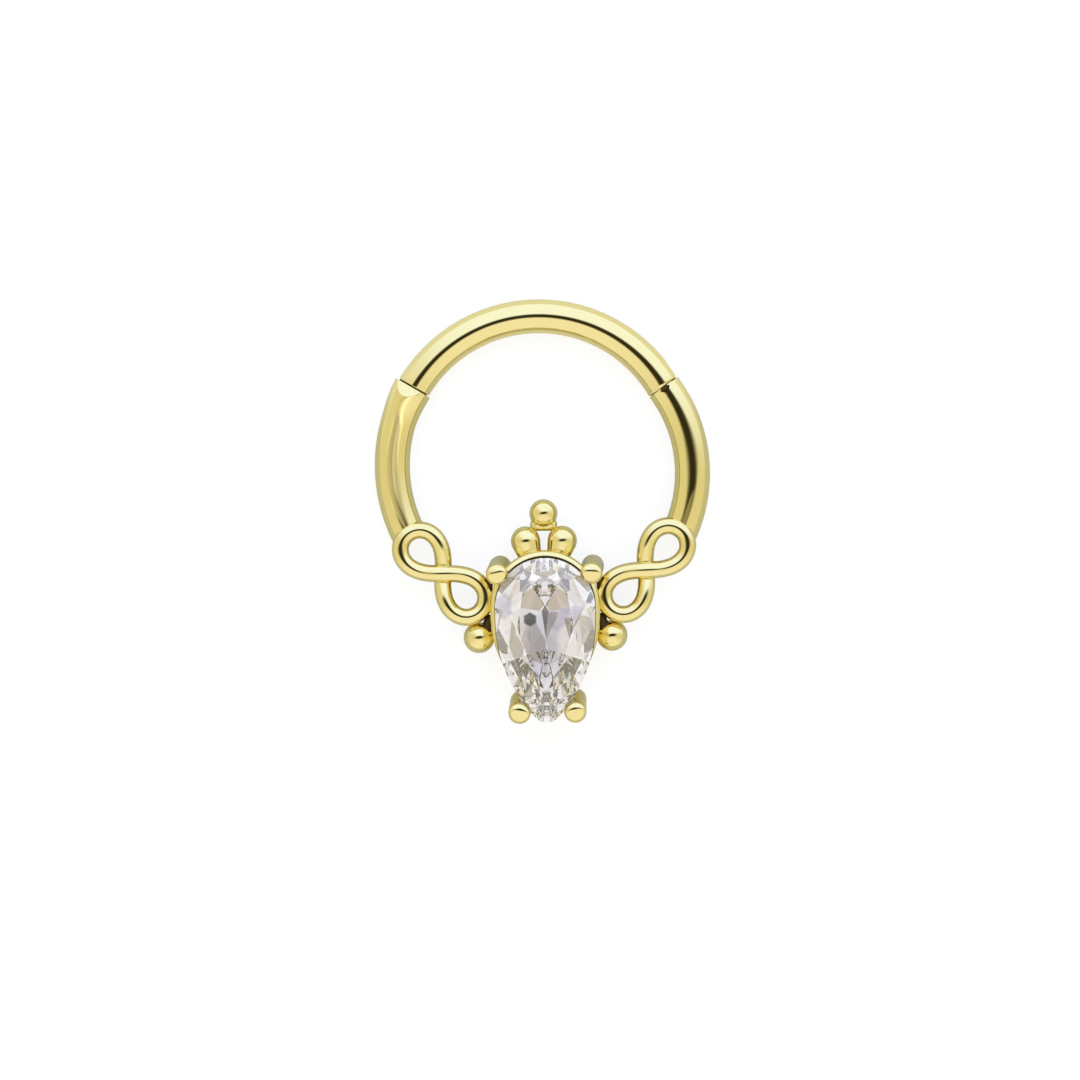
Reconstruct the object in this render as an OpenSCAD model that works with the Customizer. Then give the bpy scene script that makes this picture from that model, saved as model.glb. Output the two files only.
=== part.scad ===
// Clicker ring with a pear stone, lying on its back.
// Lengths are in millimetres. The ring's hole is centred on the Z axis until place() moves the
// whole model so that its outline is centred on the origin. The stone faces up, its tip is at -Y.

/* [Ring wire] */
// Thickness of the hinged segment
segment_d = 1.28; // [1.2:0.02:1.32]
// Thickness of the two shanks
shank_d = 1.32; // [1.28:0.02:1.4]
// Radius of the segment's centreline
segment_r = 5.45; // [5.4:0.01:5.5]
// Radius of the left shank's centreline
left_r = 5.79; // [5.75:0.01:5.83]
// Radius of the right shank's centreline
right_r = 5.39; // [5.35:0.01:5.43]
// Thickness of the left shank where the segment clicks in
clasp_d = 1.48; // [1.4:0.02:1.56]

/* [Hinge and clasp] */
// Direction of the hinge seam, from the right shank's centre
hinge_seam = 36; // [33:1:39]
// Direction of the clasp seam, from the left shank's centre
clasp_seam = 149; // [147:1:151]
// Gap that shows between the segment and the right shank
hinge_gap = 0.015; // [0.01:0.005:0.03]
// Gap that shows between the segment and the left shank
clasp_gap = 0.06; // [0.04:0.01:0.1]
// Diameter of the hinge pin
pin_d = 0.28; // [0.24:0.01:0.3]
// Room between the pin and the tongue's bore, on each side
pin_clearance = 0.015; // [0.01:0.005:0.03]
// Thickness of the hinge tongue
tongue_t = 0.34; // [0.3:0.02:0.4]

/* [Stone and collet] */
// Width of the pear stone
stone_w = 3.76; // [3.7:0.02:3.82]
// Length of the pear stone
stone_l = 6.18; // [6.1:0.02:6.24]
// Height of the stone's crown above its girdle
crown_h = 0.54; // [0.45:0.01:0.6]
// Thickness of the stone's girdle
girdle_t = 0.1; // [0.06:0.01:0.14]
// Height of the girdle's upper edge above the floor
girdle_z = 1.82; // [1.78:0.01:1.9]
// Thickness of the claws
claw_d = 0.84; // [0.8:0.02:0.88]

/* [Scrolls and beads] */
// Thickness of the scroll wire
scroll_d = 0.64; // [0.6:0.02:0.68]
// Radius of each scroll loop, to the middle of its wire
loop_r = 0.81; // [0.78:0.01:0.83]
// Height of the scrolls' middle above the floor
scroll_z = 1.12; // [1.08:0.01:1.2]
// Thickness of the two beads beside the collet
side_bead_d = 1.16; // [1.12:0.02:1.2]

/* [Hidden] */
$fn = 96;
wire_z = shank_d / 2;
far = 12;
join = 1.01;

// Centres of the three arcs: the segment sits a little up and to the left.
segment_c = [-0.14, 0.22];
left_c = [0.14, 0.07];
right_c = [0.24, -0.24];

// Stone outline: a round head, short straight flanks, two long side arcs and a rounded tip.
stone_head_r = stone_w / 2;
stone_head_y = -5.3;
stone_flank_y = -5.75;
stone_tip_r = 0.55;
stone_tip_y = stone_head_y + stone_head_r - stone_l;
stone_tip_drop = stone_flank_y - stone_tip_y - stone_tip_r;
stone_side_r = side_r(stone_head_r, stone_tip_r, stone_tip_drop);
stone_tip_turn = -asin(stone_tip_drop / (stone_side_r - stone_tip_r));

// Facets: the ways they face on the right half, from the head at 90 to the tip at -90.
main_turns = [90, 30, -8, -27, -90];
edge_turns = [75, 45, 15, -4, -13, -22, -33, -42, -68];
star_turns = [60, 10, -18, -58];
crown_tilt = 34;
crown_edge_tilt = 41;
star_tilt = 20;
star_rise = 0.19;
pavilion_tilt = 38.5;
pavilion_edge_tilt = 41;
culet_rise = 0.04;

// Collet: its rim is a little wider than the stone about the head, and runs in under the stone
// towards the tip. The wall under the stone's edge carries the ledge.
rim_r = 2.06;
rim_head_y = -5.19;
rim_flank_y = -5.6;
rim_tip_y = -8.94;
rim_tip_r = 0.3;
rim_top = girdle_z + 0.04;
wall_inset = 0.06;
stone_gap = 0.02;
seat_w = 0.3;
seat_z = girdle_z - girdle_t - 0.3;

// Claws: foot and tip of each, the two at the head first.
claws = [
    [[-1.66, -3.72], [-1.77, -3.96]],
    [[1.82, -3.74], [1.77, -3.97]],
    [[-0.95, -8.8], [-1.02, -9.2]],
    [[1.08, -8.76], [1.07, -9.15]]
];
claw_foot_z = 0.45;
claw_tip_z = 1.86;
claw_notch = 0.12;

// Scroll on the right: middles of its two loops. The shanks stop just short of the upper ones.
upper_loop = [4.635, -3.035];
lower_loop = [3.035, -4.78];
strand_lift = 0.18;
shank_stop = 5;

// Grain beads, each as x, y and z of its middle and its thickness, and their solder necks.
top_bead = [0, -1.74, 0.98, 1.06];
row_bead = [0.705, -2.77, 1, 1.14];
side_bead = [2.5, -6.37, 0.75, side_bead_d];
neck_d = 0.6;
root_foot = [0.5, -3.45, 0.98];
root_d = 0.8;

// Hinge, in its own frame: X points outward and Y along the wire, away from the right shank.
pin_x = 0.33;
pin_y = 0.4;
pin_front = 0.33;
pin_back = 0.43;
pin_seat_gap = 0.01;
tongue_r = 0.24;
slot_play = 0.02;
heel_play = 0.025;
heel_steps = 4;

// Clasp: a round nub on the segment clicks into a dimple in the swollen end of the left shank.
nub_r = 0.3;
nub_h = 0.1;
nub_play = 0.03;
flare_turn = 12;
flare_foot_d = 1.2;
flare_spare = 1.15;
bevel_length = 0.5;
bevel_depth = 0.24;
bevel_z = 0.73;
bevel_skew = 12;

hinge_p = polar(right_c, right_r, hinge_seam);
clasp_p = polar(left_c, left_r, clasp_seam);
x_min = left_c.x - left_r - shank_d / 2;
x_max = right_c.x + right_r + shank_d / 2;
y_min = min([for (c = claws) c[1].y]) - join * claw_d / 2;
y_max = segment_c.y + segment_r + segment_d / 2;

function polar(c, r, a) = [c.x + r * cos(a), c.y + r * sin(a)];
function flip(p, side) = [side * p.x, p.y];
function at_z(p, z) = [p.x, p.y, z];

// Radius of a side arc that leaves a flank upright, r from the middle line, and runs into a round
// tip of radius tip_r whose middle is d further down.
function side_r(r, tip_r, d) = (d * d + r * r - tip_r * tip_r) / (2 * (r - tip_r));

// Moves the model so that its outline is centred on the origin.
module place() {
    translate([-(x_min + x_max) / 2, -(y_min + y_max) / 2, 0]) children();
}

// A round wire bent to an arc in the plane of the ring.
module arc_wire(c, r, d, from, to) {
    translate([c.x, c.y, wire_z]) rotate([0, 0, from])
        rotate_extrude(angle = to - from) translate([r, 0]) circle(d = d);
}

// A round rod from a to b, which are points in space.
module rod(a, b, d1, d2) {
    v = b - a;
    translate(a) rotate([0, atan2(norm([v.x, v.y]), v.z), atan2(v.y, v.x)])
        cylinder(d1 = d1, d2 = d2, h = norm(v));
}

module ball(p, d) {
    translate([p.x, p.y, p.z]) sphere(d = d);
}

// What lies between two heights of its children's outline, at most w to each side.
module between(low, high, w) {
    intersection() {
        children();
        translate([-w, low]) square([2 * w, high - low]);
    }
}

// Pear outline: half a circle, straight flanks, two side arcs and a round tip, each in its band.
module pear(head_r, head_y, flank_y, tip_y, tip_r) {
    middle_y = tip_y + tip_r;
    big_r = side_r(head_r, tip_r, flank_y - middle_y);
    bend_y = flank_y - big_r * (flank_y - middle_y) / (big_r - tip_r);
    between(head_y, head_y + 2 * head_r, far) translate([0, head_y]) circle(r = head_r);
    between(flank_y, head_y, head_r) square(far * 2, center = true);
    between(bend_y, flank_y, far) intersection() {
        translate([head_r - big_r, flank_y]) circle(r = big_r);
        translate([big_r - head_r, flank_y]) circle(r = big_r);
    }
    between(tip_y - tip_r, bend_y, far) translate([0, middle_y]) circle(r = tip_r);
}

// The stone's outline, grown by g all round, or shrunk if g is negative.
module stone_outline(g) {
    pear(stone_head_r + g, stone_head_y, stone_flank_y, stone_tip_y - g, stone_tip_r + g);
}

// Puts its children in the hinge's own frame.
module at_hinge() {
    translate([hinge_p.x, hinge_p.y, wire_z]) rotate([0, 0, hinge_seam]) children();
}

// Puts its children in the clasp's own frame: X points outward and Y into the left shank.
module at_clasp() {
    translate([clasp_p.x, clasp_p.y, wire_z]) rotate([0, 0, clasp_seam]) children();
}

// A round pin or hole on the hinge's axis, between two heights off the wire's middle.
module on_pin_axis(d, low, high) {
    at_hinge() translate([pin_x, pin_y, low]) cylinder(d = d, h = high - low);
}

// How far the heel of the segment's end stands from the pin, at height z off the wire's middle.
function heel_r(z) =
    norm([max(0, sqrt(max(0, pow(segment_d / 2, 2) - z * z)) - pin_x), pin_y]);

// Hollow in the end of the right shank in which the heel of the opening segment turns.
module heel_room() {
    z_end = sqrt(pow(segment_d / 2, 2) - pin_x * pin_x);
    heights = [for (i = [-heel_steps:heel_steps]) z_end * i / heel_steps];
    outline = [for (z = heights) [heel_r(z) + heel_play, z]];
    at_hinge() translate([pin_x, pin_y, 0]) rotate_extrude()
        polygon(concat([[0, -z_end]], outline, [[0, z_end]]));
}

// Tongue of the hinge: a flat tab with a round end about the pin.
module hinge_tongue() {
    root = shank_d / 2;
    at_hinge() translate([pin_x, pin_y, -tongue_t / 2]) {
        cylinder(r = tongue_r, h = tongue_t);
        translate([-tongue_r, -pin_y - root, 0]) cube([2 * tongue_r, pin_y + root, tongue_t]);
    }
}

// Slot in the segment that leaves the tongue free as the segment swings a quarter turn.
module hinge_slot() {
    slot_t = tongue_t + 2 * slot_play;
    slot_r = tongue_r + slot_play;
    at_hinge() translate([pin_x, pin_y, -slot_t / 2]) {
        cylinder(r = slot_r, h = slot_t);
        translate([-slot_r, -segment_d, 0]) cube([slot_r + segment_d, segment_d, slot_t]);
        translate([0, -segment_d, 0]) cube([segment_d, segment_d + slot_r, slot_t]);
    }
}

// Space inside the upper loop on one side, out to the middle of its wire.
module loop_core(side) {
    p = flip(upper_loop, side);
    translate([p.x, p.y, -far]) cylinder(r = loop_r, h = 2 * far);
}

// Direction from a shank's centre in which it ends, just short of the upper loop on that side.
function shank_end(c, side) = let (v = flip(upper_loop, side) - c, turn = atan2(v.y, v.x))
    side > 0 ? turn + shank_stop : turn + 360 - shank_stop;

module right_shank() {
    difference() {
        arc_wire(right_c, right_r, shank_d, shank_end(right_c, 1), hinge_seam);
        heel_room();
        loop_core(1);
    }
    hinge_tongue();
}

// Ball of the click nub, in the clasp's own frame.
module nub(r) {
    translate([0, nub_h - clasp_gap - nub_r, 0]) sphere(r = r);
}

// Left shank: it swells in a short taper towards the clasp and ends in a ground bevel. The taper
// rises a little, so that the ring lies flat.
module left_shank() {
    flare_foot = at_z(polar(left_c, left_r, clasp_seam + flare_turn), wire_z);
    flare_run = at_z(clasp_p, clasp_d / 2) - flare_foot;
    difference() {
        union() {
            arc_wire(left_c, left_r, shank_d, clasp_seam - flare_turn, shank_end(left_c, -1));
            rod(flare_foot, flare_foot + flare_spare * flare_run, flare_foot_d,
                flare_foot_d + flare_spare * (clasp_d - flare_foot_d));
        }
        at_clasp() {
            translate([-far, -2 * far, -far]) cube(2 * far);
            translate([0, bevel_length, bevel_z]) rotate([0, 0, bevel_skew])
                rotate([atan(bevel_depth / bevel_length), 0, 0])
                translate([-far, -far, 0]) cube([2 * far, 2 * far, far]);
            nub(nub_r + nub_play);
        }
        loop_core(-1);
    }
}

// The figure-eight scroll on the right: two loops, and two strands that cross one over the other.
module scroll() {
    span = lower_loop - upper_loop;
    lie = atan2(span.y, span.x);
    mouth = 90 - asin(2 * loop_r / norm(span));
    middle = (upper_loop + lower_loop) / 2;
    for (end = [[upper_loop, lie], [lower_loop, lie + 180]])
        translate([end[0].x, end[0].y, scroll_z]) rotate([0, 0, end[1] + mouth])
            rotate_extrude(angle = 360 - 2 * mouth) translate([loop_r, 0]) circle(d = scroll_d);
    for (strand = [1, -1]) {
        start = polar(upper_loop, loop_r, lie + strand * mouth);
        a = at_z(start, scroll_z);
        b = at_z(2 * middle - start, scroll_z);
        cross = at_z(middle, scroll_z + strand * strand_lift);
        rod(a, cross, scroll_d, scroll_d);
        rod(cross, b, scroll_d, scroll_d);
        for (p = [a, cross, b]) ball(p, scroll_d * join);
    }
}

// A claw: a leaning rod with a round foot and a round tip.
module claw(foot, tip) {
    a = at_z(foot, claw_foot_z);
    b = at_z(tip, claw_tip_z);
    rod(a, b, claw_d, claw_d);
    ball(a, claw_d * join);
    ball(b, claw_d * join);
}

// The pear collet with its four claws, open through the back, with a ledge under the stone.
module setting() {
    difference() {
        union() {
            linear_extrude(rim_top) pear(rim_r, rim_head_y, rim_flank_y, rim_tip_y, rim_tip_r);
            linear_extrude(seat_z) stone_outline(-wall_inset);
            for (c = claws) claw(c[0], c[1]);
        }
        translate([0, 0, -1]) linear_extrude(rim_top + 1 + claw_notch) stone_outline(-seat_w);
        translate([0, 0, seat_z])
            linear_extrude(girdle_z + claw_notch - seat_z) stone_outline(stone_gap);
    }
}

module beads() {
    top = [top_bead.x, top_bead.y, top_bead.z];
    ball(top, top_bead[3]);
    for (side = [-1, 1]) {
        row = [side * row_bead.x, row_bead.y, row_bead.z];
        ball(row, row_bead[3]);
        ball([side * side_bead.x, side_bead.y, side_bead.z], side_bead[3]);
        rod(row, top, neck_d, neck_d);
        rod(row, [side * root_foot.x, root_foot.y, root_foot.z], root_d, root_d);
    }
}

// All the soldered metal of the fixed part.
module ring_frame() {
    color("khaki") place() difference() {
        union() {
            left_shank();
            right_shank();
            setting();
            beads();
            for (side = [0, 1]) mirror([side, 0, 0]) scroll();
        }
        on_pin_axis(pin_d + 2 * pin_clearance, -shank_d, shank_d);
    }
}

// The arc that closes the ring: a fork at the hinge and a click nub at the clasp.
module hinged_segment() {
    start = hinge_p - segment_c;
    stop = clasp_p - segment_c;
    spare = 4;
    color("palegoldenrod") place() {
        difference() {
            arc_wire(segment_c, segment_r, segment_d,
                atan2(start.y, start.x) - spare, atan2(stop.y, stop.x) + spare);
            at_hinge() translate([-far, hinge_gap - 2 * far, -far]) cube(2 * far);
            at_clasp() translate([-far, -clasp_gap, -far]) cube(2 * far);
            hinge_slot();
            on_pin_axis(pin_d + 2 * pin_seat_gap, -shank_d, pin_front + pin_seat_gap);
        }
        at_clasp() nub(nub_r);
    }
}

module hinge_pin() {
    color("goldenrod") place() on_pin_axis(pin_d, -pin_back, pin_front);
}

// Distance from the Z axis to a line that touches the stone's edge and faces the way turn.
function stone_reach(turn) =
    turn >= 0 ? stone_head_y * sin(turn) + stone_head_r :
    turn > stone_tip_turn ?
        (stone_head_r - stone_side_r) * cos(turn) + stone_flank_y * sin(turn) + stone_side_r :
    (stone_tip_y + stone_tip_r) * sin(turn) + stone_tip_r;

// What a flat facet takes off. It faces the way turn, and up is 1 on the crown, -1 on the pavilion.
module facet_cut(turn, tilt, z, up) {
    reach = stone_reach(turn);
    translate([reach * cos(turn), reach * sin(turn), z]) rotate([0, up * tilt, turn])
        translate([-far, -far, up > 0 ? 0 : -far]) cube([2 * far, 2 * far, far]);
}

// A ring of facets, each cut on the right half and mirrored to the left.
module facet_ring(turns, tilt, z, up) {
    for (turn = turns) {
        facet_cut(turn, tilt, z, up);
        if (abs(turn) != 90) mirror([1, 0, 0]) facet_cut(turn, tilt, z, up);
    }
}

// The cut stone. It is convex, so that its hull is the stone itself, as flat facets.
module pear_stone() {
    low_z = girdle_z - girdle_t;
    culet_z = low_z - stone_head_r * tan(pavilion_tilt) + culet_rise;
    color("lavender") place() hull() difference() {
        translate([0, 0, culet_z]) linear_extrude(girdle_z + crown_h - culet_z) stone_outline(0);
        facet_ring(main_turns, crown_tilt, girdle_z, 1);
        facet_ring(edge_turns, crown_edge_tilt, girdle_z, 1);
        facet_ring(star_turns, star_tilt, girdle_z + star_rise, 1);
        facet_ring(main_turns, pavilion_tilt, low_z, -1);
        facet_ring(edge_turns, pavilion_edge_tilt, low_z, -1);
    }
}

ring_frame();
hinged_segment();
hinge_pin();
pear_stone();
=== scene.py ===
import math
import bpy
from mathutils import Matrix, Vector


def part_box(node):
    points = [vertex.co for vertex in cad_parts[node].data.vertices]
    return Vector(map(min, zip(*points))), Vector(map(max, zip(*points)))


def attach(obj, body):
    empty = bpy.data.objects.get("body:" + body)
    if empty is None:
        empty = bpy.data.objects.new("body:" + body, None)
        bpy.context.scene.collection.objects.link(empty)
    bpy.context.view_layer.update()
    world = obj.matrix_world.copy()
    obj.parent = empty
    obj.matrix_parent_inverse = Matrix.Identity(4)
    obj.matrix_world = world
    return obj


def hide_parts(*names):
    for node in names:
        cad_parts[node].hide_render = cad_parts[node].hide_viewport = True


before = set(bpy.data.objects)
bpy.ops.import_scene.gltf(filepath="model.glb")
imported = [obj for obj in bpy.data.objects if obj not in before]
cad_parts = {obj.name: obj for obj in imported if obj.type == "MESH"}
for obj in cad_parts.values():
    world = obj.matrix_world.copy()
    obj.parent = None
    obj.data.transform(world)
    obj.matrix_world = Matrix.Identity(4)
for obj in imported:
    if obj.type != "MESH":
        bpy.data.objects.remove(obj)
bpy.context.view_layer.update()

from types import SimpleNamespace

import bmesh
import bpy
from bpy.props import FloatProperty, FloatVectorProperty, PointerProperty
from mathutils import Matrix, Vector

bl_info = {
    "name": "Clicker ring with a pear stone",
    "version": (1, 0, 0),
    "blender": (4, 5, 0),
    "location": "3D View > Sidebar > Clicker ring",
    "description": "Polished metal, stone and studio for a hinged clicker ring that lies on its back",
    "category": "Mesh",
}

MM = 0.001
UP = Vector((0, 0, 1))
# The direction along which the parts of a mesh are put in order, so slanted that hardly two lie level
ORDER = Vector((1.0, 1.414, 1.732))

# How finely round forms are divided
WIRE_SIDES = 64
THIN_WIRE_SIDES = 32
STEPS_PER_TURN = 180
FINE_STEPS = 96
LEAST_STEPS = 8
SHARP_ANGLE = math.radians(32)

# Lengths in millimetres: closer points are merged, tools reach this far, and cut ends are rounded
MERGE = 0.0005
FAR = 3.0
CLASP_ROUND = 0.02
HINGE_ROUND = 0.08

# Angles in radians by which the wires are swept past their cuts
CLASP_SPARE = 0.05
SEGMENT_SPARE = 0.07

# How many roundings inside a rounded cut a second edge keeps the shading of the flank straight
GUARD = 1.5
# The higher this power, the closer to their crossing the scroll's strands run level
CROSSING_POWER = 9

# About how wide the patches, waves and grains of the metals are, and how deep the waves, in millimetres
TONE_SIZE = 2.0
WAVE_SIZE = 1.25
GRAIN_SIZE = 1 / 6
WAVE_DEPTH = 0.02

# The directions of two of a hexagon's sides, of which the others are mirror images
HEXAGON = ((1.0, 0.0, 0.0), (0.5, 0.866, 0.0))
# The stone's painted reflections and shade, from the first laid on to the last, and how soft their edges are
# as a share of their size
TINT_EDGES = {"window": 0.25, "mist": 0.2, "shadow": 0.15}

# The dark slot as a mirror ball of radius 1 shows it: its middle, lean, half size and soft edges
SLOT_X = 0.02
SLOT_Y = 0.02
SLOT_LEAN = 0.1
SLOT_W = 0.42
SLOT_H = 0.1
SLOT_FADE = (1.4, 0.6)
SLOT_ENDS = (0.45, 0.1)

# Where the light about the ball turns from the sides' to the lower and to the upper light
LOWER_FADE = (-0.2, -0.9)
UPPER_FADE = (0.1, 0.85)
# How much further round on the right the upper light reaches
UPPER_SKEW = 0.2

# What the stone gathers: patches of light and shade, a warm spot and a cool one, by direction
PATCH_SCALE = 3.0
PATCH_FADE = (0.4, 0.54)
BLUSH = (0.0, -0.84, 0.54)
BLUSH_FADE = (0.3, 0.12)
GLEAM = (0.0, -0.3, 0.95)
GLEAM_FADE = (0.62, 0.4)

# The floor's half width in metres, and how near the camera sees, as a share of its height
FLOOR_REACH = 2.0
NEAREST = 0.02


def length(label, mm, words):
    """A property that holds a length."""
    return FloatProperty(name=label, description=words, default=mm * MM, unit="LENGTH", precision=5)


def turn(label, degrees, words):
    """A property that holds an angle."""
    return FloatProperty(name=label, description=words, default=math.radians(degrees), subtype="ANGLE")


def point(label, x, y, z, words):
    """A property that holds a place, measured from the middle of the ring's hole at floor height."""
    return FloatVectorProperty(name=label, description=words, default=(x * MM, y * MM, z * MM),
                               subtype="TRANSLATION", size=3)


def linear(hex_colour):
    """The linear colour of an sRGB hex value."""
    parts = [int(hex_colour[i:i + 2], 16) / 255 for i in (1, 3, 5)]
    return [c / 12.92 if c <= 0.04045 else ((c + 0.055) / 1.055) ** 2.4 for c in parts]


def light(label, red, green, blue, words):
    """A property that holds the brightness of a light in linear red, green and blue."""
    return FloatVectorProperty(name=label, description=words, default=(red, green, blue), size=3, min=0)


def colour(label, hex_colour, words):
    """A property that holds a colour, given as an sRGB hex value."""
    return FloatVectorProperty(name=label, description=words, default=linear(hex_colour),
                               subtype="COLOR", size=3, min=0, max=4)


class ClickerWire(bpy.types.PropertyGroup):
    """The round wire of the ring: two shanks and the hinged segment."""

    segment_d: length("Segment thickness", 1.28, "Thickness of the hinged segment")
    shank_d: length("Shank thickness", 1.32, "Thickness of the two shanks")
    clasp_d: length("Clasp thickness", 1.48, "Thickness of the left shank where the segment clicks in")
    segment_r: length("Segment radius", 5.45, "Radius of the segment's centreline")
    left_r: length("Left radius", 5.79, "Radius of the left shank's centreline")
    right_r: length("Right radius", 5.39, "Radius of the right shank's centreline")
    segment_c: point("Segment centre", -0.14, 0.22, 0.66, "Centre of the segment's arc")
    left_c: point("Left centre", 0.14, 0.07, 0.66, "Centre of the left shank's arc")
    right_c: point("Right centre", 0.24, -0.24, 0.66, "Centre of the right shank's arc")
    shank_stop: turn("Shank stop", 5, "How far the shanks end before the middle of the upper scroll loops")


class ClickerJoints(bpy.types.PropertyGroup):
    """The hinge on the right and the clasp on the left."""

    hinge_seam: turn("Hinge seam", 36, "Direction of the hinge seam from the right shank's centre")
    clasp_seam: turn("Clasp seam", 149, "Direction of the clasp seam from the left shank's centre")
    hinge_gap: length("Hinge gap", 0.015, "Gap that shows between the segment and the right shank")
    clasp_gap: length("Clasp gap", 0.06, "Gap that shows between the segment and the left shank")
    pin_x: length("Pin offset outward", 0.33, "How far the pin stands outside the wire's middle line")
    pin_y: length("Pin offset along", 0.4, "How far the pin stands from the seam, along the wire")
    pin_d: length("Pin thickness", 0.28, "Thickness of the hinge pin")
    pin_clearance: length("Pin clearance", 0.015, "Room between the pin and the tongue's bore")
    pin_seat_gap: length("Pin seat gap", 0.01, "Room between the pin and its seat in the segment")
    pin_front: length("Pin front", 0.33, "How far the pin reaches from the wire's middle to the front")
    tongue_r: length("Tongue radius", 0.24, "Radius of the tongue's round end")
    tongue_t: length("Tongue thickness", 0.34, "Thickness of the tongue")
    slot_play: length("Slot play", 0.02, "Room between the tongue and the slot")
    shoulder_inset: length("Shoulder inset", 0.05, "How far the shoulders lie under the wire's surface")
    shoulder_gap: length("Shoulder gap", 0.005, "Gap between the shoulders and the segment")
    pit_w: length("Pit width", 0.3, "Width of the square pit at the front of the hinge seam")
    pit_depth: length("Pit depth", 0.4, "Depth of the pit")
    pit_place: length("Pit place", 0.08, "How far the pit's middle lies from the seam, on the right shank")
    heel_play: length("Heel play", 0.025, "Room in which the heel of the segment turns")
    nub_r: length("Nub radius", 0.3, "Radius of the click nub")
    nub_h: length("Nub height", 0.1, "How far the click nub stands out of the segment's end")
    nub_play: length("Nub play", 0.03, "Room between the nub and its dimple")
    flare_l: length("Flare length", 1.5, "How much of the left shank swells towards the clasp")
    bevel_l: length("Bevel length", 0.5, "Length of the ground bevel at the clasp")
    bevel_h: length("Bevel height", 0.24, "How far the bevel drops along its length")
    bevel_z: length("Bevel start", 0.84, "How far over the wire's middle the bevel starts")
    bevel_skew: turn("Bevel skew", 35, "Turn of the bevel, so that it runs further on the outer side")


class ClickerSetting(bpy.types.PropertyGroup):
    """The collet, its claws and the stone's outline."""

    stone_w: length("Stone width", 3.76, "Width of the pear stone")
    stone_head_y: length("Stone head", -5.3, "Place of the middle of the stone's round head")
    stone_flank_y: length("Stone flank", -5.75, "Place where the stone's straight flanks end")
    stone_tip_r: length("Stone tip radius", 0.55, "Radius of the stone's rounded tip")
    stone_tip_y: length("Stone tip", -9.6, "Place of the stone's tip")
    girdle_z: length("Girdle height", 1.82, "Height of the girdle's upper edge above the floor")
    girdle_t: length("Girdle thickness", 0.1, "Height of the stone's girdle")
    rim_w: length("Rim width", 4.12, "Width of the collet's rim about the stone's head")
    rim_head_y: length("Rim head", -5.19, "Place of the middle of the rim's round head")
    rim_flank_y: length("Rim flank", -5.6, "Place where the rim's straight flanks end")
    rim_tip_y: length("Rim tip", -8.94, "Place of the rim's tip, under the stone")
    rim_tip_r: length("Rim tip radius", 0.3, "Radius of the rim's tip")
    rim_h: length("Rim height", 0.04, "How far the collet's rim stands over the girdle")
    rim_round: length("Rim rounding", 0.22, "Rounding of the rim's outer edge")
    wall_inset: length("Wall inset", 0.06, "How far the collet's wall stays inside the stone's outline")
    seat_w: length("Seat width", 0.3, "Width of the ledge under the stone's edge")
    seat_drop: length("Seat depth", 0.3, "Depth of the ledge under the girdle")
    stone_gap: length("Stone gap", 0.02, "Gap between the stone and the collet")
    # Painted reflections and shade in the stone's colour: a grey window, a dark facet and violet facets.
    window_place: point("Window", -0.1, -6.69, 0, "Middle of the grey window in the stone")
    window_w: length("Window width", 1.15, "Width of the window")
    window_l: length("Window length", 2.3, "Length of the window")
    shadow_place: point("Shadow", -0.57, -5.71, 0, "Middle of the dark facet in the stone")
    shadow_w: length("Shadow width", 0.48, "Width of the dark facet")
    shadow_l: length("Shadow length", 0.48, "Length of the dark facet")
    mist_place: point("Mist", -1.55, -5.2, 0, "Middle of the violet facets at the stone's left edge")
    mist_w: length("Mist width", 0.6, "Width of the violet facets")
    mist_l: length("Mist length", 0.9, "Length of the violet facets")
    claw_d: length("Claw thickness", 0.84, "Thickness of the claws")
    claw_dome_r: length("Claw dome", 3, "Radius of the low dome on each claw, before it is ground down")
    claw_round: length("Claw rounding", 0.2, "Rounding between a claw's dome and its flank")
    claw_drop: length("Claw drop", 0.15, "How far each claw is ground down on both sides of its ridge")
    ridge_round: length("Ridge rounding", 0.09, "Rounding of the ridge over each claw")
    head_left_ridge: turn("Head left ridge", 12, "Turn of the ridge over the left claw at the head")
    head_right_ridge: turn("Head right ridge", -4, "Turn of the ridge over the right claw at the head")
    tip_left_ridge: turn("Tip left ridge", -11, "Turn of the ridge over the left claw at the tip")
    tip_right_ridge: turn("Tip right ridge", 12, "Turn of the ridge over the right claw at the tip")
    head_left_foot: point("Head left foot", -1.66, -3.72, 0.45, "Foot of the left claw at the head")
    head_left_tip: point("Head left tip", -1.77, -3.96, 1.86, "Tip of the left claw at the head")
    head_right_foot: point("Head right foot", 1.82, -3.74, 0.45, "Foot of the right claw at the head")
    head_right_tip: point("Head right tip", 1.77, -3.97, 1.86, "Tip of the right claw at the head")
    tip_left_foot: point("Tip left foot", -0.95, -8.8, 0.45, "Foot of the left claw at the tip")
    tip_left_tip: point("Tip left tip", -1.02, -9.16, 1.86, "Tip of the left claw at the tip")
    tip_right_foot: point("Tip right foot", 1.08, -8.76, 0.45, "Foot of the right claw at the tip")
    tip_right_tip: point("Tip right tip", 1.07, -9.15, 1.86, "Tip of the right claw at the tip")


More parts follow.
